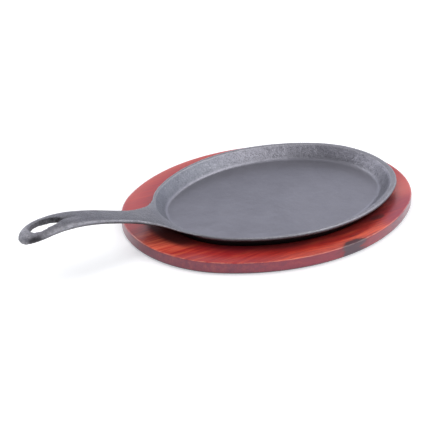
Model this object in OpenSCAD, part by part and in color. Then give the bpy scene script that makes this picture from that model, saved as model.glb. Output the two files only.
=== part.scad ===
// Oval cast iron sizzle skillet resting in a wooden underliner board.
// The origin is the middle of the board's underside, +Z up, and the handle points to -X.

/* [Board] */
// Width of the board that shows beyond the dish's rim, where the dish sits in the middle
board_margin = 20.5; // [16:0.5:30]
// Thickness of the board
board_t = 11; // [10:0.5:18]
// Radius of the rounded top edge
board_top_r = 1.3; // [0.5:0.1:2.5]
// Radius of the rounded bottom edge
board_foot_r = 3; // [1:0.1:4]
// Depth of the recess that the skillet sits in
recess_depth = 5.5; // [4:0.5:7]
// Gap all round between the recess wall and the skillet, at the board's top face
recess_gap = 1; // [0.5:0.1:2]

/* [Dish] */
// Length of the dish over its rim, along X
rim_l = 235; // [215:1:245]
// Width of the dish over its rim, along Y
rim_w = 176; // [160:1:186]
// Height of the dish, from its base to the top of its rim
dish_h = 14.5; // [12:0.5:20]
// Distance of the dish's middle from the board's middle, away from the handle
dish_shift = 8.3; // [0:0.1:10]
// Thickness of the dish's floor
floor_t = 3.2; // [2.5:0.1:4]
// Thickness of the flared wall
wall_t = 3.5; // [2.8:0.1:3.9]
// Width of the flat lip along the top of the wall
lip_w = 3.6; // [3:0.1:6]
// Height of the lip's outer face
lip_h = 3; // [2.4:0.1:4]
// Distance that the flared wall leans out between the floor and the lip
wall_run = 10.2; // [8:0.1:13]
// Distance that the hollow lies nearer the handle than the rim does
hollow_shift = 1.8; // [0:0.1:2]
// Radius of the blend between the floor and the wall
floor_r = 7; // [4:0.5:9]
// Radius of the rounded edge of the base
base_r = 2.5; // [1:0.1:3]
// Radius of the rounded edges of the lip
lip_r = 0.9; // [0.4:0.1:1.2]

/* [Handle] */
// Length of the handle, from the rim to its tip
handle_l = 133.2; // [110:0.2:160]
// Width of the neck
neck_w = 23; // [20:0.2:27]
// Thickness of the neck
neck_t = 6.4; // [5.8:0.1:9]
// Width of the head, across the hanging hole
head_w = 29.3; // [28:0.1:36]
// Thickness of the head
head_t = 7.8; // [6:0.1:10]
// Length of the rounded tip, from the widest place to the end
tip_l = 18.9; // [16:0.1:26]
// Length of the flare that widens the neck into the rim
flare_l = 35.8; // [25:0.2:42]
// Height of the tip above the rim
tip_rise = 18.3; // [5:0.1:30]
// Pull of the arch at the root, along the handle
root_reach = 44.3; // [35:0.1:55]
// Pull of the arch at the root, upwards
root_lift = 6.6; // [2:0.1:12]
// Pull of the arch at the tip, along the handle
tip_reach = 48.9; // [40:0.1:60]
// Pull of the arch at the tip, upwards
tip_lift = 22.5; // [10:0.1:26]
// Share of the neck's thickness that lies above its widest line
neck_split = 0.42; // [0.35:0.01:0.5]
// Share of the head's thickness that lies above its widest line
head_split = 0.79; // [0.5:0.01:0.85]
// Depth of the shallow hollow along the handle's top
dish_depth = 0.9; // [0.2:0.1:1.5]

/* [Hanging hole] */
// Width of the hanging hole at its round end
hole_w = 14.4; // [10:0.2:16]
// Length of the hanging hole, from its round end to its point
hole_l = 29.2; // [20:0.1:32]
// Distance from the handle's tip to the hole's round end
hole_edge = 9.8; // [8.5:0.1:14]

/* [Hidden] */
$fn = 96;

// Size of the board
board_l = rim_l + 2 * board_margin;
board_w = rim_w + 2 * board_margin;

// Small step that carries a cut past the face it opens
cut = 1;

// How far an end of an oval reaches into its sides
lap = 0.5;

// Steps in a rounded corner of a profile, and round the handle's section
corner_steps = 6;
section_steps = 32;
handle_steps = 46;

// Heights of the seat and of the rim above the table, and the reach of a cut above the seat
seat_z = board_t - recess_depth;
rim_z = seat_z + dish_h;
headroom = 2 * dish_h;

// The wall's lean, and the skillet's outer wall at the level of the board's top face
wall_rise = dish_h - floor_t;
lean = atan2(wall_rise, wall_run);
wall_shift = wall_t / sin(lean);
foot_in = lip_w + wall_run + floor_t / tan(lean) - wall_shift;
top_face_in = foot_in - recess_depth / tan(lean);
recess_in = round(top_face_in - recess_gap);

// The end of the rim that carries the handle, and the handle's run from its buried root
rim_end_x = dish_shift - rim_l / 2;
root_in = 16.3;
root_blend = 30;
root_sink = 1;
root_tuck = 1.5;
root_under = 2;
sink_l = 12;
arch_run = handle_l + root_in;
flare_power = 1.8;
top_power = 1.79;
underside_power = 3;
edge_drop = 0.4;
tip_round = 5;
hole_power = 0.75;

// Radii of the end and side arcs of an oval with half axes a and b, drawn from four centres.
// The line through two centres and the place where their arcs meet rises 4 for each 3 along.
function oval_end_r(a, b) = a - 1.5 * (a - b);
function oval_side_r(a, b) = b + 2 * (a - b);

// A length in whole hundredths of a millimetre
function snap(v) = round(100 * v) / 100;

// Points of an arc, from angle a0 to angle a1
function arc(centre, r, a0, a1, steps = corner_steps) =
    [for (i = [0 : steps]) let (turn = a0 + (a1 - a0) * i / steps)
        [snap(centre[0] + r * cos(turn)), snap(centre[1] + r * sin(turn))]];

// A round solid of radius r with the given edge: x is the distance out from r, y is the height
module turned(r, edge) {
    top = edge[len(edge) - 1][1];
    rotate_extrude()
        polygon(concat([[0, edge[0][1]]], [for (p = edge) [r + p[0], p[1]]], [[0, top]]));
}

// A prism over a polygon, a little taller than the given edge
module over(edge, points) {
    bottom = edge[0][1] - cut;
    top = edge[len(edge) - 1][1] + cut;
    translate([0, 0, bottom]) linear_extrude(top - bottom) polygon(points);
}

// A solid oval with the given half axes: two ends and two sides, each cut from a round solid.
// An end reaches a little way into the sides, where its round solid lies inside theirs.
module oval_solid(half_l, half_w, edge) {
    a = snap(half_l);
    b = snap(half_w);
    r1 = oval_end_r(a, b);
    r2 = oval_side_r(a, b);
    end = [a - r1, 0];
    root = end - [lap, 0];
    out = [3 * b, 4 * b];
    for (side = [0, 180])
        rotate(side) {
            intersection() {
                translate([end[0], 0, 0]) turned(r1, edge);
                over(edge, [root, root + [out[0], -out[1]], root + out]);
            }
            intersection() {
                translate([0, b - r2, 0]) turned(r2, edge);
                over(edge, [end, end + out, [-end[0] - out[0], out[1]], -end]);
            }
        }
}

// Outer edge of the dish, from the base up to the top of the lip
function dish_edge() =
    let (lip_under = dish_h - lip_h)
    concat(
        arc([-foot_in - base_r * tan(lean / 2), base_r], base_r, -90, lean - 90),
        [[snap(-foot_in + lip_under / tan(lean)), lip_under]],
        arc([-lip_r, lip_under + lip_r], lip_r, -90, 0),
        arc([-lip_r, dish_h - lip_r], lip_r, 0, 90)
    );

// Edge of the space inside the dish, from the floor up past the rim
function hollow_edge() =
    let (lip_x = snap(-lip_w + lip_r * tan(lean / 2)))
    concat(
        arc([-lip_w - wall_run - floor_r * tan(lean / 2), floor_t + floor_r], floor_r, -90, lean - 90),
        arc([lip_x, dish_h - lip_r], lip_r, 90 + lean, 90),
        [[lip_x, headroom]]
    );

module dish_body() {
    translate([dish_shift, 0, seat_z]) oval_solid(rim_l / 2, rim_w / 2, dish_edge());
}

module dish_hollow() {
    translate([dish_shift - hollow_shift, 0, seat_z]) oval_solid(rim_l / 2, rim_w / 2, hollow_edge());
}

// Smooth change from 0 to 1 as t goes from 0 to 1
function ease(t) = let (k = min(max(t, 0), 1)) k * k * (3 - 2 * k);

// How far the root dips below the rim, so that it comes out of the lip at a clear angle
function sink(s) = root_sink * (1 - ease(s / sink_l));

// Place along the arch of the handle: distance out from the buried root and height above the rim
function curve(t) =
    3 * (1 - t) ^ 2 * t * [root_reach, root_lift]
    + 3 * (1 - t) * t ^ 2 * [arch_run - tip_reach, tip_rise + tip_lift]
    + t ^ 3 * [arch_run, tip_rise];
function arch(t) = let (p = curve(t)) [p[0], p[1] * ease(p[0] / root_blend) - sink(p[0])];

// Half width of the handle at distance s from its root: flare, neck, head and round tip
root_half = sqrt(2 * oval_end_r(rim_l / 2, rim_w / 2) * root_in - root_in ^ 2);
neck_s = root_in + flare_l;
head_s = arch_run - tip_l;
function half_width(s) =
    let (
        flare = (root_half - neck_w / 2) * (max(neck_s - s, 0) / neck_s) ^ flare_power,
        swell = (head_w - neck_w) / 2 * ease((s - neck_s) / (head_s - neck_s)),
        tuck = root_tuck * (1 - ease(s / sink_l * 1.5)),
        taper = sqrt(max(1 - (max(s - head_s, 0) / tip_l) ^ 2, 0))
    )
    (neck_w / 2 + flare + swell - tuck) * taper;

// Height of the handle's top above its widest line, and depth of its underside below it
function from_neck(s, at_neck, at_head) =
    at_neck + (at_head - at_neck) * ease((s - neck_s) / (head_s - neck_s));
function thick(s) = from_neck(s, neck_t, head_t);
function split(s) = from_neck(s, neck_split, head_split);
function tip_close(s) = sqrt(max(1 - (max(s - arch_run + tip_round, 0) / tip_round) ^ 2, 0));
function top_h(s) = (edge_drop + (thick(s) * split(s) - edge_drop) * ease(s / neck_s)) * tip_close(s);
function under_h(s) =
    (root_under + (thick(s) * (1 - split(s)) - root_under) * ease(s / neck_s) - sink(s)) * tip_close(s);

// Sine or cosine made fuller, for a rounded box section
function fuller(v, power) = sign(v) * abs(v) ^ (2 / power);

// Dip of the handle's top, at a share of the way from its middle to its edge
function dip(up, share) = 2 * dish_depth * min(up / neck_t, 1) * (1 - share ^ 2) ^ 2;

// One section across the handle, dished along its top
function section(t) =
    let (p = arch(t), w = half_width(p[0]), up = top_h(p[0]), down = under_h(p[0]))
    [for (i = [0 : section_steps - 1])
        let (
            turn = 360 * i / section_steps,
            upper = sin(turn) >= 0,
            power = upper ? top_power : underside_power,
            share = fuller(cos(turn), power),
            rise = upper ? up * fuller(sin(turn), power) - dip(up, share) : down * fuller(sin(turn), power)
        )
        [rim_end_x + root_in - p[0], w * share, rim_z - edge_drop + p[1] + rise]
    ];

// Skin over a row of sections, closed at both ends
module loft(rows) {
    n = len(rows[0]);
    last = len(rows) - 1;
    polyhedron(
        points = [for (row = rows) each row],
        faces = concat(
            [[for (i = [n - 1 : -1 : 0]) i]],
            [for (j = [0 : last - 1], i = [0 : n - 1])
                [j * n + i, j * n + (i + 1) % n, (j + 1) * n + (i + 1) % n, (j + 1) * n + i]],
            [[for (i = [0 : n - 1]) last * n + i]]
        )
    );
}

module handle_body() {
    tip_bias = 1.5;
    last_t = 0.9995;
    loft([for (k = [0 : handle_steps]) section(last_t * (1 - (1 - k / handle_steps) ^ tip_bias))]);
}

// Outline of the hanging hole, round towards the tip and pointed towards the dish
function hole_points() =
    let (r = hole_w / 2, long = hole_l - r, steps = 4 * corner_steps)
    concat(
        arc([0, 0], r, 90, 270, steps),
        [for (i = [1 : steps - 1]) let (u = sin(90 * i / steps)) [long * u, -r * (1 - u * u) ^ hole_power]],
        [for (i = [steps : -1 : 1]) let (u = sin(90 * i / steps)) [long * u, r * (1 - u * u) ^ hole_power]]
    );

module hanging_hole() {
    x = rim_end_x - handle_l + hole_edge + hole_w / 2;
    translate([x, 0, rim_z]) linear_extrude(tip_rise + tip_lift) polygon(hole_points());
}

module skillet() {
    color([0.33, 0.33, 0.36])
        difference() {
            union() {
                dish_body();
                handle_body();
            }
            dish_hollow();
            hanging_hole();
        }
}

// Outer edge of the board
function board_edge() =
    concat(
        arc([-board_foot_r, board_foot_r], board_foot_r, -90, 0),
        arc([-board_top_r, board_t - board_top_r], board_top_r, 0, 90)
    );

module board() {
    recess_edge = [[-recess_in, seat_z], [-recess_in, board_t + cut]];
    color([0.62, 0.16, 0.12])
        difference() {
            oval_solid(board_l / 2, board_w / 2, board_edge());
            translate([dish_shift, 0, 0]) oval_solid(rim_l / 2, rim_w / 2, recess_edge);
        }
}

skillet();
board();
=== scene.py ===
import math

import bmesh
import bpy
import numpy as np
from mathutils import Matrix, Vector, noise
from mathutils.bvhtree import BVHTree


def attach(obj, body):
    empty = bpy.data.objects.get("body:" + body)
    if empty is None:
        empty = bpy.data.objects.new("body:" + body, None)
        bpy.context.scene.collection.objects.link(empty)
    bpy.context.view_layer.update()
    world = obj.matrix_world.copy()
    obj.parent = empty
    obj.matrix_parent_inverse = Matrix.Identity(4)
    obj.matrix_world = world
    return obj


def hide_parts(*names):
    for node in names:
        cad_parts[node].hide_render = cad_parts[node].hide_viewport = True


# Sizes and places on the part are in millimetres, and MM turns them into metres.
# The lamps and the camera are in metres, and the scales of noise are per metre.
MM = 0.001
DISH_X = 8.3                 # middle of the dish along X
RIM = (117.5, 88.0)          # half axes of the rim's outer edge
BOARD = (138.0, 108.5)       # half axes of the board
TOP_Z = 11.0                 # board's top face
SEAT_Z = 5.5                 # recess floor
RECESS_INSET = 6.0           # recess wall, inside the rim's outline
FOOT_ROUND = 3.0             # radius of the board's rounded foot
EDGE_ROUND = 1.3             # radius of the board's rounded top edge
SINK = 0.8                   # how far the top face sinks towards the recess
LIP_ROUND = 0.8              # radius of the recess's upper edge
SEAT_ROUND = 1.0             # radius between the recess wall and its floor
BOARD_POINTS = 420           # points round the board
BOARD_TURN = 0.003           # turns the first point off the axis, in radians
HOLE = (-217.9, 14.6, 7.2)   # hanging hole: middle along X, half length, half width
GROOVE = (13.0, 2.8, 1.15)   # groove beyond the hole: length, half width, depth
GROOVE_LEAD = 3.0            # how far before the hole's narrow end the groove sets in
GROOVE_DARK = 0.75           # painted shade in the groove, as a share of the hole wall's
KNOT = (12.5, -109.5)        # knot in the board's front edge
WELD = 0.002                 # points nearer than this are joined
FACE_SIZE = 1.01             # edge of the casting's faces
CRISP_Z = (15.2, 16.2)       # heights between which the casting's edges turn crisp
CRISP_X = (-106.0, -100.0)   # the same along X, since the handle stays soft
FLOOR_Z = 10.2               # upward faces below this height are smoother
FLOOR_GRIT = 0.25            # how much of the grit they keep
SHRINK = 0.05                # the whole casting lies this much further in, to make room for its waves

# Unevenness: height, size, seed of the noise
CAST_WAVES = ((0.11, 19, 1), (0.05, 6, 2))
CAST_GRIT = (0.035, 2.1, 3)
SANDED_WAVES = ((0.16, 9, 5), (0.10, 31, 6))

# Lamps: name, direction, distance, size, watts, seen in reflections
SOFTBOXES = (
    ("key_softbox", (0.42, -0.53, 0.74), 1.3, 1.1, 6.2, True),
    ("top_softbox", (-0.10, 0.22, 0.97), 1.5, 0.9, 6.8, False),
    ("front_softbox", (-0.35, -0.82, 0.45), 1.4, 0.9, 4.2, False),
    ("back_softbox", (-0.273, 0.750, 0.602), 1.3, 0.55, 2.2, True),
    ("side_softbox", (0.613, 0.054, 0.788), 1.3, 0.45, 1.5, True))
STUDIO_HALF = 4.0            # half the floor's width, in metres
STUDIO_DROP = -0.2           # height of the floor in millimetres, just below the part

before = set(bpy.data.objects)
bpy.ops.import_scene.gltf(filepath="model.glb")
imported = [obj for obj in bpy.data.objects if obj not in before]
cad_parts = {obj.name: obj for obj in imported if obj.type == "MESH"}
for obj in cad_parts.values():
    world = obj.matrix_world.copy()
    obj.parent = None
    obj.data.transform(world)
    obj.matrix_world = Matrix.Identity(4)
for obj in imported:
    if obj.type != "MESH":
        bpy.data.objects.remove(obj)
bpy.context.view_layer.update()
scene = bpy.context.scene


# Nodes
class Nodes:
    """The node tree of a material or world, with short names for the nodes used here."""

    def __init__(self, owner):
        owner.use_nodes = True
        self.tree = owner.node_tree
        self.tree.nodes.clear()

    def add(self, kind, inputs=None, **settings):
        node = self.tree.nodes.new(kind)
        for key, value in settings.items():
            setattr(node, key, value)
        for key, value in (inputs or {}).items():
            self.put(node.inputs[key], value)
        return node

    def put(self, socket, value):
        if isinstance(value, bpy.types.NodeSocket):
            self.tree.links.new(value, socket)
        else:
            socket.default_value = value

    def math(self, operation, a, b=0.0, clamp=False):
        return self.add("ShaderNodeMath", {0: a, 1: b}, operation=operation, use_clamp=clamp).outputs[0]

    def chain(self, operation, first, others):
        for other in others:
            first = self.math(operation, first, other)
        return first

    def times(self, first, *others):
        return self.chain("MULTIPLY", first, others)

    def plus(self, first, *others):
        return self.chain("ADD", first, others)

    def most(self, first, *others):
        return self.chain("MAXIMUM", first, others)

    def less(self, a, b):
        return self.math("SUBTRACT", a, b)

    def rest(self, value):
        """What is left of one."""
        return self.math("SUBTRACT", 1.0, value)

    def far(self, *parts):
        """Squared distance from a place; each part is a value, its middle and its reach."""
        steps = [self.math("DIVIDE", self.less(value, middle), reach) for value, middle, reach in parts]
        return self.plus(*[self.math("POWER", step, 2.0) for step in steps])

    def axes(self, vector):
        parts = self.add("ShaderNodeSeparateXYZ", {0: vector}).outputs
        return parts["X"], parts["Y"], parts["Z"]

    def vector(self, operation, a, b=(0.0, 0.0, 0.0), result="Vector"):
        return self.add("ShaderNodeVectorMath", {0: a, 1: b}, operation=operation).outputs[result]

    def toward(self, vector, direction):
        return self.vector("DOT_PRODUCT", vector, direction, "Value")

    def noise(self, vector, scale, detail=2.0, rough=0.5, warp=0.0):
        inputs = {"Vector": vector, "Scale": scale, "Detail": detail, "Roughness": rough, "Distortion": warp}
        return self.add("ShaderNodeTexNoise", inputs).outputs["Fac"]

    def streaks(self, vector, scale, detail=1.0, rough=0.5, warp=0.0):
        """Noise with its own scale along each axis."""
        stretched = self.add("ShaderNodeMapping", {"Vector": vector, "Scale": scale}).outputs["Vector"]
        return self.noise(stretched, 1.0, detail, rough, warp)

    def span(self, value, a, b, to_a=0.0, to_b=1.0, smooth=True):
        """The value's way from a to b, turned into the way from to_a to to_b."""
        inputs = {"Value": value, "From Min": a, "From Max": b, "To Min": to_a, "To Max": to_b}
        kind = "SMOOTHSTEP" if smooth else "LINEAR"
        return self.add("ShaderNodeMapRange", inputs, interpolation_type=kind).outputs["Result"]

    def mix(self, factor, a, b, blend="MIX"):
        node = self.add("ShaderNodeMix", data_type="RGBA", blend_type=blend)
        self.put(node.inputs[0], factor)
        self.put(node.inputs[6], a)
        self.put(node.inputs[7], b)
        return node.outputs[2]

    def ramp(self, value, stops):
        node = self.add("ShaderNodeValToRGB", {"Fac": value})
        ramp = node.color_ramp
        while len(ramp.elements) < len(stops):
            ramp.elements.new(0.5)
        for element, (place, colour) in zip(ramp.elements, stops):
            element.position = place
            element.color = colour
        return node.outputs["Color"]

    def bump(self, height, strength, depth):
        inputs = {"Strength": strength, "Distance": depth * MM, "Height": height}
        return self.add("ShaderNodeBump", inputs).outputs["Normal"]

    def done(self, shader, kind="ShaderNodeOutputMaterial"):
        output = self.add(kind)
        self.tree.links.new(shader, output.inputs["Surface"])


class Surface(Nodes):
    """A material's nodes, with the shaded point's place in metres, its x, y and z in millimetres, and
    the way it faces."""

    def __init__(self, name):
        self.material = bpy.data.materials.new(name)
        super().__init__(self.material)
        self.place = self.add("ShaderNodeTexCoord").outputs["Object"]
        self.x, self.y, self.z = [self.math("DIVIDE", part, MM) for part in self.axes(self.place)]
        self.normal = self.add("ShaderNodeNewGeometry").outputs["Normal"]
        self.face_x, self.face_y, self.face_up = self.axes(self.normal)


def rgb(r, g, b):
    return (r, g, b, 1.0)


# Meshes
def ease(value, a, b):
    return np.clip((value - a) / (b - a), 0, 1)


def grid_noise(points, size, seed):
    shift = Vector((seed * 7.31, seed * 3.17, seed * 5.73))
    return np.array([noise.noise(Vector(p) / (size * MM) + shift) for p in points])


def read_vertices(mesh, key):
    out = np.empty(len(mesh.vertices) * 3)
    mesh.vertices.foreach_get(key, out)
    return out.reshape(-1, 3)


def set_coords(mesh, points):
    mesh.vertices.foreach_set("co", points.astype(np.float32).ravel())
    mesh.update()


def add_object(name, data):
    thing = bpy.data.objects.new(name, data)
    scene.collection.objects.link(thing)
    return thing


def even_faces(name, source):
    """The source's shape with even fine faces and softened corners, and the source's own surface."""
    mesh = source.copy()
    mesh.name = name
    mesh.materials.clear()
    bm = bmesh.new()
    bm.from_mesh(mesh)
    bmesh.ops.remove_doubles(bm, verts=bm.verts, dist=WELD * MM)
    bm.to_mesh(mesh)
    surface = BVHTree.FromBMesh(bm)
    bm.free()
    piece = add_object(name, mesh)
    grid = piece.modifiers.new("grid", "REMESH")
    grid.mode = "VOXEL"
    grid.voxel_size = FACE_SIZE * MM
    grid.use_smooth_shade = True
    soft = piece.modifiers.new("soft", "SMOOTH")
    soft.factor = 0.5
    soft.iterations = 2
    bpy.context.view_layer.update()
    fine = bpy.data.meshes.new_from_object(piece.evaluated_get(bpy.context.evaluated_depsgraph_get()))
    piece.modifiers.clear()
    piece.data = fine
    bpy.data.meshes.remove(mesh)
    fine.name = name
    return piece, surface


def crisp_lip(mesh, surface):
    """The lip keeps its crisp edges: its points go back to the source's surface."""
    points = read_vertices(mesh, "co")
    crisp = ease(points[:, 2] / MM, *CRISP_Z) * ease(points[:, 0] / MM, *CRISP_X)
    for i in np.nonzero(crisp)[0]:
        at = surface.find_nearest(Vector(points[i]))[0]
        points[i] += crisp[i] * (np.array(at) - points[i])
    set_coords(mesh, points)
    return points


def groove_share(points, out):
    """Depth, from 0 to 1, of the groove that the hole's narrow end runs out into."""
    length, half_width, _ = GROOVE
    beyond = points[:, 0] / MM - HOLE[0] - HOLE[1]
    fade = ease(beyond, length, 0) * ease(beyond, -GROOVE_LEAD, 0)
    across = np.clip(1 - (points[:, 1] / MM / half_width) ** 2, 0, 1) ** 1.5
    return fade * across * ease(out[:, 2], 0.2, 0.7)


def hole_share(points, out):
    """How much each point belongs to the hanging hole's inner wall, from 0 to 1."""
    middle, half_length, half_width = HOLE
    x = (points[:, 0] / MM - middle) / half_length
    y = points[:, 1] / MM / half_width
    radial = np.hypot(x, y)
    inward = -(out[:, 0] * x + out[:, 1] * y) / np.maximum(radial, 1e-6)
    return ease(inward, 0.35, 0.75) * ease(radial, 1.35, 1.15)


def cast_piece():
    """The casting, with even fine faces, softened corners and the slight unevenness of sand-cast iron."""
    piece, surface = even_faces("skillet_casting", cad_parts["skillet"].data)
    mesh = piece.data
    points = crisp_lip(mesh, surface)
    out = read_vertices(mesh, "normal")
    wave = sum(height * grid_noise(points, size, seed) for height, size, seed in CAST_WAVES)
    grit = CAST_GRIT[0] * grid_noise(points, *CAST_GRIT[1:])
    dish_floor = (points[:, 2] < FLOOR_Z * MM) & (out[:, 2] > 0.7)
    depth = wave + np.where(dish_floor, FLOOR_GRIT, 1.0) * grit - SHRINK
    groove = groove_share(points, out)
    moved = points + out * depth[:, None] * MM
    moved[:, 2] -= groove * GROOVE[2] * MM
    set_coords(mesh, moved)
    # painted shade: the hole's wall and the groove are darkened through this share, which also makes them
    # rougher
    wall = np.maximum(hole_share(points, out), GROOVE_DARK * groove)
    mesh.attributes.new("hole_wall", "FLOAT", "POINT").data.foreach_set("value", wall.astype(np.float32))
    return piece


def oval(half, inset, angles):
    """Points of a four-centre oval by the direction of its normal."""
    a, b = half
    span = a - b
    # the arcs' centres form a triangle with sides as 3 to 4 to 5, so the arcs meet where ny is 0.8
    nx, ny = np.cos(angles), np.sin(angles)
    end = np.abs(ny) < 0.8
    cx = np.where(end, np.sign(nx) * 1.5 * span, 0.0)
    cy = np.where(end, 0.0, -np.sign(ny) * 2 * span)
    radius = np.where(end, a - 1.5 * span, b + 2 * span) - inset
    return np.stack([cx + radius * nx, cy + radius * ny], 1)


def ring_mesh(name, rings, n):
    """Closed mesh from stacked rings of n points; the first and last ring each close to a point."""
    points = np.concatenate(rings)
    faces = []
    for k in range(len(rings) - 1):
        for i in range(n):
            j = (i + 1) % n
            faces.append((k * n + i, k * n + j, (k + 1) * n + j, (k + 1) * n + i))
    low_tip, high_tip = len(points), len(points) + 1
    last = (len(rings) - 1) * n
    for i in range(n):
        j = (i + 1) % n
        faces.append((low_tip, j, i))
        faces.append((high_tip, last + i, last + j))
    points = np.vstack([points, rings[0].mean(0), rings[-1].mean(0)])
    mesh = bpy.data.meshes.new(name)
    mesh.from_pydata((points * MM).tolist(), [], faces)
    mesh.shade_smooth()
    return mesh


def board_rings(angles):
    """Rings of the board, from the middle of its underside round to the middle of the recess floor."""
    def outer(inset, z):
        return np.column_stack([oval(BOARD, inset, angles), np.full(len(angles), z)])

    def inner(inset, z):
        ring = oval(RIM, RECESS_INSET + inset, angles)
        ring[:, 0] += DISH_X
        return np.column_stack([ring, np.full(len(angles), z)])

    def corner(steps):
        return [(1 - math.sin(t), 1 - math.cos(t)) for t in np.linspace(0, math.pi / 2, steps)]

    rings = [outer(inset, 0.0) for inset in (70.0, 40.0, 20.0, 10.0, 5.0, 3.4)]
    rings += [outer(FOOT_ROUND * s, FOOT_ROUND * c) for s, c in corner(7)]
    rings += [outer(0.0, z) for z in (4.6, 6.2, 7.8, 9.1)]
    rings += [outer(EDGE_ROUND * c, TOP_Z - EDGE_ROUND * s) for s, c in corner(7)]
    # the face sinks a little towards the recess
    face_z = TOP_Z - SINK
    edge, lip = outer(EDGE_ROUND, TOP_Z), inner(-LIP_ROUND, face_z)
    rings += [edge * (1 - u) + lip * u for u in np.linspace(0, 1, 15)[1:]]
    rings += [inner(-LIP_ROUND * s, face_z - LIP_ROUND * c) for s, c in corner(5)[1:]]
    rings += [inner(0.0, z) for z in (8.6, 7.0)]
    rings += [inner(SEAT_ROUND * c, SEAT_Z + SEAT_ROUND * s) for s, c in corner(4)]
    rings += [inner(inset, SEAT_Z) for inset in (3.0, 8.0, 18.0, 36.0, 60.0)]
    return rings


def board_piece():
    """The underliner: rounded foot, upright side, softly rounded top edge and a recess for the dish."""
    angles = np.linspace(0, 2 * math.pi, BOARD_POINTS, endpoint=False) + BOARD_TURN
    mesh = ring_mesh("underliner_board", board_rings(angles), BOARD_POINTS)
    points, out = read_vertices(mesh, "co"), read_vertices(mesh, "normal")
    # the hand-sanded side and edges wander a little, the faces stay flat
    side = np.clip(1 - np.abs(out[:, 2]), 0, 1)
    wander = sum(height * (0.5 + 0.5 * grid_noise(points, size, seed)) for height, size, seed in SANDED_WAVES)
    set_coords(mesh, points - out * (side * wander * MM)[:, None])
    return add_object("underliner_board", mesh)


# Iron
def iron_base(t, cloud, fine, grain):
    """Dark grey with pits, smoother and more even on the dish's floor."""
    tint = t.plus(t.times(cloud, 0.62), t.times(fine, 0.38))
    colour = t.ramp(tint, [
        (0.30, rgb(0.290, 0.285, 0.325)), (0.52, rgb(0.348, 0.342, 0.386)), (0.74, rgb(0.415, 0.408, 0.455))])
    pits = t.span(t.noise(t.place, 900.0), 0.34, 0.52, 0.44, 0.76)
    # the grain is finer and cooler on the left part of the wall
    fine_end = t.times(t.span(t.x, 40, -30), t.span(t.x, -114, -104))
    pits = t.mix(t.times(fine_end, 0.62), pits, rgb(0.560, 0.604, 0.596))
    pits = t.mix(grain, rgb(1, 1, 1), pits)
    colour = t.mix(1.0, colour, pits, "MULTIPLY")
    smooth = t.rest(grain)
    colour = t.mix(t.times(smooth, 0.6), colour, rgb(0.385, 0.378, 0.428))
    # painted shade: the floor is darker towards the back
    back = t.times(smooth, t.span(t.y, -45, 75, 0.0, 0.32))
    return t.mix(back, colour, rgb(0.05, 0.05, 0.062))


def iron_rubbed_and_highlight(t, colour, hole, grain):
    """Bright specks in the grain, a painted highlight along the handle's near edge, and the tip and the bank
    beside the groove rubbed brighter, the tip partly as a painted highlight.
    """
    speck = t.times(t.span(t.noise(t.place, 410.0, 2.0, 0.6), 0.55, 0.70, 0.0, 0.14), grain)
    colour = t.mix(speck, colour, rgb(0.66, 0.65, 0.68))
    # painted highlight: the handle's near edge is lighter where it faces halfway between the key lamp and the
    # camera
    painted_highlight = t.span(t.toward(t.normal, (-0.05, -0.72, 0.69)), 0.80, 0.97, 0.0, 0.46)
    painted_highlight = t.times(painted_highlight, t.span(t.x, -108, -122))
    # the tip is rubbed brighter, partly a painted highlight
    tip = t.span(t.x, -230, -237, 0.0, 0.46)
    # the bank beside the groove
    bank = t.span(t.far((t.x, -196.5, 8.0), (t.y, -4.2, 3.0)), 1.4, 0.3, 0.0, 0.26)
    bank = t.times(bank, t.span(t.face_up, 0.5, 0.8))
    rubbed = t.times(t.most(painted_highlight, tip, bank), t.rest(hole))
    rubbed = t.times(rubbed, t.span(t.noise(t.place, 430.0, 2.0, 0.6), 0.38, 0.62, 0.45, 1.45))
    return t.mix(rubbed, colour, rgb(0.56, 0.55, 0.58))


def iron_seasoning_and_shade(t, colour, hole, fine):
    """The handle's seasoning is darker; painted shade lies on the rim's outer slope, under rim and handle and
    inside the hole, and a painted dark reflection on the tip's near side.
    """
    outward = t.plus(t.times(t.face_x, t.less(t.x, DISH_X)), t.times(t.face_y, t.y))
    # painted shade on the rim's outer slope
    slope = t.times(
        t.span(outward, 10, 45), t.span(t.x, -112, -100), t.span(t.z, 15.0, 16.5),
        t.span(t.face_up, 0.96, 0.70, 0.0, 0.48))
    colour = t.mix(slope, colour, rgb(0.085, 0.085, 0.090))
    # painted shade on faces turned down beneath the rim and the handle
    tilt = t.less(t.face_up, t.span(t.x, -100, -122, 0.0, 0.24))
    under = t.times(t.span(tilt, -0.30, -0.60), t.most(t.span(t.z, 17.2, 16.0), t.span(t.x, -95, -110)), 0.95)
    # painted shade inside the hole, broken up by noise
    crust = t.span(t.noise(t.place, 420.0, 3.0, 0.6), 0.35, 0.65, 0.45, 0.95)
    inside = t.times(hole, crust, t.span(t.x, -232, -208, 0.15, 1.0))
    # painted dark reflection: a dark spot on the near side of the tip
    painted_dark_reflection = t.plus(t.far((t.x, -235.0, 11.5), (t.y, -12.0, 5.0), (t.z, 41.5, 4.8)), fine)
    painted_dark_reflection = t.times(t.span(painted_dark_reflection, 1.7, 0.6), 0.85)
    colour = t.mix(t.span(t.x, -92, -126, 0.0, 0.42), colour, rgb(0.10, 0.10, 0.105))
    return t.mix(t.most(inside, under, painted_dark_reflection), colour, rgb(0.042, 0.040, 0.043))


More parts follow.
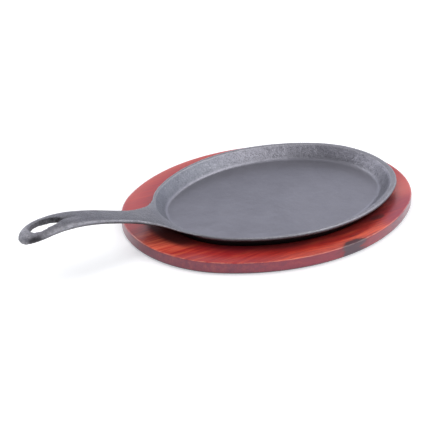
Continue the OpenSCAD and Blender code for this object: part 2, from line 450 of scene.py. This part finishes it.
def iron_dish(t, colour):
    """Painted shade where floor and wall blend and on the wall at the near right, and a painted highlight on
    the lip's crest.
    """
    # painted shade where the floor blends into the wall, at both ends and at the back
    ends = t.most(
        t.span(t.x, 45, 85, 0.0, 0.50), t.span(t.x, -60, -85, 0.0, 0.30), t.span(t.y, 10, 45, 0.0, 0.24))
    blend = t.times(t.span(t.z, 8.6, 9.2), t.span(t.z, 15.0, 10.8), ends)
    # painted shade on the wall at the near right
    near_end = t.times(
        t.span(t.x, 58, 90), t.span(t.y, 10, -30), t.span(t.z, 8.6, 10.0), t.span(t.z, 18.4, 17.0, 0.0, 0.62))
    colour = t.mix(t.most(blend, near_end), colour, rgb(0.120, 0.120, 0.135))
    # painted highlight on the lip's crest
    crest = t.times(t.span(t.z, 18.9, 19.6), t.span(t.x, -116, -100), 0.35)
    return t.mix(crest, colour, rgb(0.46, 0.45, 0.475))


def iron_relief(t, grain):
    """Pebbled sand grain in uneven patches, deeper on the handle."""
    coarse = t.times(t.noise(t.place, 340.0, 2.0, 0.55), 0.6)
    medium = t.times(t.noise(t.place, 760.0, 2.0, 0.55), 0.4)
    grit = t.times(t.noise(t.place, 2100.0, 2.0, 0.6), 0.25)
    relief = t.plus(t.times(t.plus(coarse, medium), 0.75), grit)
    patches = t.span(t.noise(t.place, 90.0, 3.0, 0.6), 0.38, 0.62, 0.55, 1.35)
    return t.times(relief, patches, grain, t.span(t.x, -100, -130, 1.0, 1.7))


def iron_material():
    t = Surface("iron")
    hole = t.add("ShaderNodeAttribute", attribute_name="hole_wall").outputs["Fac"]
    cloud = t.noise(t.place, 55.0, 4.0, 0.6, 0.4)
    fine = t.noise(t.place, 520.0, 3.0, 0.6)
    # the walls, lip and handle keep the sand's grain; the dish's floor is smoother
    grain = t.span(t.z, 9.0, 11.2, 0.16, 1.0)
    colour = iron_base(t, cloud, fine, grain)
    colour = iron_rubbed_and_highlight(t, colour, hole, grain)
    colour = iron_seasoning_and_shade(t, colour, hole, fine)
    colour = iron_dish(t, colour)
    rough = t.plus(t.span(cloud, 0.30, 0.70, 0.29, 0.33), t.times(grain, 0.11), t.times(hole, 0.25))
    shader = t.add("ShaderNodeBsdfPrincipled", {
        "Base Color": colour, "Roughness": rough, "Metallic": 0.82, "Specular IOR Level": 0.5,
        "Normal": t.bump(iron_relief(t, grain), 0.9, 0.6)})
    t.done(shader.outputs[0])
    return t.material


# Wood
def bent_place(t):
    """The place, swayed a little and pulled round the knot, so that the grain bends there."""
    near = t.far((t.x, KNOT[0], 26.0), (t.y, KNOT[1], 17.0))
    pull = t.times(t.math("EXPONENT", t.times(near, -1.0)), 6 * MM)
    sway = t.times(t.less(t.streaks(t.place, (7.0, 16.0, 16.0)), 0.5), 10 * MM)
    bend = t.add("ShaderNodeCombineXYZ", {1: t.plus(sway, pull)}).outputs[0]
    return t.vector("ADD", t.place, bend)


def wood_grain(t, bent, streak, hair):
    """Streaky red grain with pores, calmer in the back half and at the right end, and pinker there as a
    painted reflection.
    """
    wide = t.streaks(bent, (5.0, 95.0, 60.0), 3.0, 0.55)
    tone = t.plus(t.times(wide, 0.30), t.times(streak, 0.46), t.times(hair, 0.24))
    calm = t.most(t.span(t.y, -20, 30), t.span(t.x, 88, 124))
    contrast = t.span(calm, 0.0, 1.0, 1.08, 0.66, False)
    tone = t.plus(t.times(t.less(tone, 0.5), contrast), 0.5)
    colour = t.ramp(tone, [
        (0.38, rgb(0.260, 0.0085, 0.0080)), (0.46, rgb(0.370, 0.0150, 0.0110)),
        (0.53, rgb(0.490, 0.0300, 0.0170)), (0.61, rgb(0.640, 0.0900, 0.0330))])
    pores = t.span(t.streaks(bent, (70.0, 1500.0, 900.0)), 0.62, 0.72, 1.0, 0.45)
    colour = t.mix(1.0, colour, pores, "MULTIPLY")
    # painted reflection: the back half and the right end turn pinker
    return tone, t.mix(t.times(calm, 0.52), colour, rgb(0.440, 0.048, 0.060))


def side_stain(t, colour, upright):
    """The side takes the stain deeper than the face, with a violet tint that is a painted reflection."""
    side = t.mix(t.span(t.x, -100, -25), rgb(0.140, 0.038, 0.076), rgb(0.235, 0.037, 0.074))
    side = t.mix(t.span(t.x, 35, 80), side, rgb(0.090, 0.026, 0.072))
    return t.mix(t.times(upright, 0.72), colour, side)


def root_shadow_zone(t, from_dish):
    """Where the board lies beneath the handle's root, where a shadow is painted."""
    return t.times(
        t.span(from_dish, 1.130, 1.060), t.span(t.x, -85, -104), t.span(t.y, 26, 14), t.span(t.y, -50, -25))


def face_stain_and_painted_light(t, colour, tone, streak, flat, from_dish, root):
    """Zones of stain, painted shade, painted light and painted reflection on the face, one over the other:
    strength, colour and what bounds it.
    """
    from_middle = t.math("SQRT", t.far((t.x, 0.0, BOARD[0]), (t.y, 0.0, BOARD[1])))
    front = t.span(t.y, -15, -60)
    orange = t.mix(t.span(streak, 0.40, 0.62), rgb(0.62, 0.062, 0.042), rgb(0.88, 0.17, 0.095))
    zones = (
        # painted shade: the face darkens towards the dish in front
        (1.00, rgb(0.066, 0.009, 0.011), (
            t.span(from_dish, 1.14, 0.99), front, t.span(t.x, -118, -98), t.span(t.x, 0, -45, 0.62, 0.84))),
        # painted light: the face is lighter towards the front edge, most on the lighter grain
        (0.78, rgb(0.76, 0.098, 0.030), (
            t.span(from_middle, 0.86, 0.97), t.span(t.x, -85, -20), t.span(t.x, 80, 50), front, flat,
            t.span(tone, 0.42, 0.56, 0.35, 1.0))),
        # the left end is orange
        (0.90, orange, (t.span(t.x, -96, -118), t.span(t.y, 10, -4), t.span(t.y, -44, -26), flat)),
        # crimson beside it
        (0.30, rgb(0.270, 0.008, 0.022), (t.span(t.x, -45, -80), front, flat)),
        # painted shadow beneath the handle's root
        (0.90, rgb(0.050, 0.010, 0.012), (root,)),
        # duller and cooler along the front edge at the right
        (0.68, rgb(0.300, 0.024, 0.058), (
            t.span(t.x, 46, 66), t.span(from_middle, 0.84, 0.97), t.span(t.y, -50, -68), flat)),
        # painted reflection: the right end is paler and pinker
        (0.62, rgb(0.72, 0.150, 0.120), (
            t.span(t.x, 88, 112), t.span(t.y, -74, -52), t.span(t.y, -15, -50), flat)),
        # painted reflection: lighter along the far edge
        (0.45, rgb(0.62, 0.115, 0.075), (
            t.span(from_middle, 0.88, 0.98), t.span(t.y, 25, 50), t.span(t.x, -122, -95), flat)))
    for strength, stain, bounds in zones:
        colour = t.mix(t.times(strength, *bounds), colour, stain)
    return colour


def painted_edge_highlight(t):
    """The rounded top edge, where a highlight line is painted."""
    return t.times(
        t.span(t.face_up, 0.985, 0.86), t.span(t.face_up, 0.30, 0.55), t.span(t.z, 9.2, 9.8),
        t.span(t.noise(t.place, 85.0, 3.0, 0.6), 0.34, 0.62, 0.05, 0.55))


def wood_knot(t, colour, streak, upright, flat, edge):
    """The knot, with its dark heart, ragged rim and halo of darker grain, a painted shadow of the dish to its
    right, and the top edge's painted highlight running across it.
    """
    ragged = t.times(t.less(t.noise(t.place, 260.0, 3.0, 0.6), 0.5), 0.9)
    slant = t.plus(t.less(t.x, KNOT[0]), t.times(t.less(TOP_Z, t.z), 0.15))
    fringe = t.times(upright, t.less(streak, 0.45), 2.6)
    ring = t.plus(t.far((slant, 0.0, 13.2), (t.y, KNOT[1], 7.2)), ragged, fringe)
    heart = t.times(t.span(ring, 0.60, 1.40, 0.95, 0.0), t.rest(t.times(upright, 0.10)))
    core = t.mix(upright, rgb(0.050, 0.020, 0.030), rgb(0.104, 0.092, 0.112))
    core = t.mix(t.times(t.span(ring, 0.25, 0.80), flat), core, rgb(0.040, 0.020, 0.024))
    colour = t.mix(t.span(ring, 0.9, 2.6, 0.35, 0.0), colour, rgb(0.120, 0.012, 0.012))
    # painted shadow of the dish, a dark patch to the knot's right
    dish_shadow = t.plus(t.far((t.x, 58.0, 9.5), (t.y, -81.5, 3.6)), ragged)
    colour = t.mix(t.span(dish_shadow, 1.3, 0.3, 0.0, 0.75), colour, rgb(0.060, 0.014, 0.016))
    colour = t.mix(heart, colour, core)
    # the top edge's painted highlight crosses the knot, paler there
    return heart, t.mix(t.times(edge, heart, 0.9), colour, rgb(0.36, 0.27, 0.27))


def wood_material():
    t = Surface("stained_wood")
    bent = bent_place(t)
    streak = t.streaks(bent, (26.0, 380.0, 260.0), 3.0, 0.62, 0.35)
    hair = t.streaks(bent, (60.0, 2100.0, 1500.0), 2.0, 0.6)
    upright = t.span(t.face_up, 0.75, 0.25)
    flat = t.rest(upright)
    from_dish = t.math("SQRT", t.far((t.x, DISH_X, RIM[0]), (t.y, 0.0, RIM[1])))
    # where the painted shadow beneath the handle's root lies
    root = root_shadow_zone(t, from_dish)
    tone, colour = wood_grain(t, bent, streak, hair)
    colour = side_stain(t, colour, upright)
    colour = face_stain_and_painted_light(t, colour, tone, streak, flat, from_dish, root)
    # painted highlight along the rounded top edge
    edge = painted_edge_highlight(t)
    colour = t.mix(edge, colour, rgb(0.66, 0.22, 0.16))
    # painted shade along the foot, where the board meets the floor
    foot = t.span(t.z, 2.4, 1.0, 0.0, 0.92)
    colour = t.mix(foot, colour, rgb(0.050, 0.018, 0.024))
    heart, colour = wood_knot(t, colour, streak, upright, flat, edge)
    relief = t.plus(t.times(streak, 0.7), t.times(hair, 0.3))
    orange_peel = t.streaks(bent, (60.0, 240.0, 160.0))
    # the lacquer is thinner on the side and over the knot, and beneath the root and at the foot, where shade
    # is painted
    coat = t.less(t.rest(t.times(upright, 0.36)), t.most(t.times(heart, 0.72), t.times(root, 0.60)))
    coat = t.math("MULTIPLY", coat, t.rest(foot), clamp=True)
    shader = t.add("ShaderNodeBsdfPrincipled", {
        "Base Color": colour, "Roughness": t.span(streak, 0.3, 0.7, 0.34, 0.46), "Specular IOR Level": 0.3,
        "Normal": t.bump(relief, 0.30, 0.10), "Coat Weight": coat, "Coat Roughness": 0.22, "Coat IOR": 1.52,
        "Coat Normal": t.bump(orange_peel, 0.35, 0.12)})
    t.done(shader.outputs[0])
    return t.material


# Studio
def floor_material():
    """Light grey floor that glows a little, more so with distance, until it meets the white ground."""
    t = Surface("floor")
    path = t.add("ShaderNodeLightPath").outputs
    seen = t.most(path["Is Camera Ray"], path["Is Glossy Ray"], path["Is Transmission Ray"])
    colour = t.ramp(t.noise(t.place, 30.0, 3.0), [(0.3, rgb(0.79, 0.79, 0.79)), (0.7, rgb(0.82, 0.82, 0.82))])
    matt = t.add("ShaderNodeBsdfDiffuse", {"Color": colour}).outputs[0]
    away = t.vector("LENGTH", t.place, result="Value")
    extra = t.times(path["Is Camera Ray"], t.span(away, 0.45, 2.0, 0.0, 0.45))
    glow = t.plus(t.times(seen, 0.40), extra)
    glow = t.add("ShaderNodeEmission", {"Color": rgb(0.94, 0.95, 1.0), "Strength": glow}).outputs[0]
    t.done(t.add("ShaderNodeAddShader", {0: matt, 1: glow}).outputs[0])
    return t.material


def room_world():
    """A plain white ground for the camera, soft light on matt surfaces and a room in reflections."""
    world = bpy.data.worlds.new("studio")
    scene.world = world
    t = Nodes(world)
    path = t.add("ShaderNodeLightPath").outputs
    way = t.add("ShaderNodeTexCoord").outputs["Generated"]
    # a paper sweep behind the set and a dimmer ceiling above it
    sweep, wall = rgb(0.97, 1.0, 1.15), rgb(0.93, 0.94, 1.0)
    room = t.ramp(t.axes(way)[2], [
        (0.0, sweep), (0.42, sweep), (0.60, wall), (0.72, wall),
        (0.88, rgb(0.66, 0.66, 0.70)), (1.0, rgb(0.55, 0.55, 0.59))])
    # a dark room at the front left, and a dark patch high at the back right
    for direction, begin, full, strength in (
            ((-0.77, -0.64, 0.0), -0.05, 0.50, 0.62), ((0.500, 0.615, 0.610), 0.940, 0.982, 0.78)):
        share = t.span(t.toward(way, direction), begin, full, 0.0, strength)
        room = t.mix(share, room, rgb(0.14, 0.14, 0.16))

    def background(colour, strength):
        return t.add("ShaderNodeBackground", {"Color": colour, "Strength": strength}).outputs[0]

    def choose(share, a, b):
        return t.add("ShaderNodeMixShader", {0: share, 1: a, 2: b}).outputs[0]

    shiny = t.most(path["Is Glossy Ray"], path["Is Transmission Ray"])
    lit = choose(shiny, background(rgb(0.97, 0.98, 1.0), 0.38), background(room, 1.0))
    t.done(choose(path["Is Camera Ray"], lit, background(rgb(1, 1, 1), 1.0)), "ShaderNodeOutputWorld")


def softbox(name, direction, distance, size, watts, mirrored):
    light = bpy.data.lights.new(name, "AREA")
    light.shape = "SQUARE"
    light.size = size
    light.energy = watts
    lamp = add_object(name, light)
    way = Vector(direction).normalized()
    lamp.location = way * distance
    lamp.rotation_euler = way.to_track_quat("Z", "Y").to_euler()
    lamp.visible_glossy = mirrored


def studio():
    room_world()
    for box in SOFTBOXES:
        softbox(*box)
    mesh = bpy.data.meshes.new("floor")
    corners = [(-1, -1), (1, -1), (1, 1), (-1, 1)]
    mesh.from_pydata([(x * STUDIO_HALF, y * STUDIO_HALF, 0) for x, y in corners], [], [(0, 1, 2, 3)])
    floor = add_object("floor", mesh)
    floor.location.z = STUDIO_DROP * MM
    mesh.materials.append(floor_material())


def camera():
    data = bpy.data.cameras.new("camera")
    data.sensor_fit = "HORIZONTAL"
    data.sensor_width = 36.0
    data.lens = 102.507
    data.clip_start = 0.05
    view = add_object("camera", data)
    right = Vector((0.83765141, -0.5462052, 0.0))
    up = Vector((0.25222064, 0.38680147, 0.88700021))
    back = Vector((-0.48448412, -0.74299697, 0.46176902))
    place = Matrix((right, up, back)).transposed().to_4x4()
    place.translation = (-0.57677110, -0.79602389, 0.50484162)
    view.matrix_world = place
    scene.camera = view


camera()
studio()
scene.view_settings.view_transform = "Standard"

iron, wood = iron_material(), wood_material()

skillet = cast_piece()
skillet.data.materials.append(iron)
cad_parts["skillet"].data.materials.clear()
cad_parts["skillet"].data.materials.append(iron)
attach(skillet, "root")
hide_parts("skillet")

board = board_piece()
board.data.materials.append(wood)
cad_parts["board"].data.materials.clear()
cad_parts["board"].data.materials.append(wood)
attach(board, "root")
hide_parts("board")
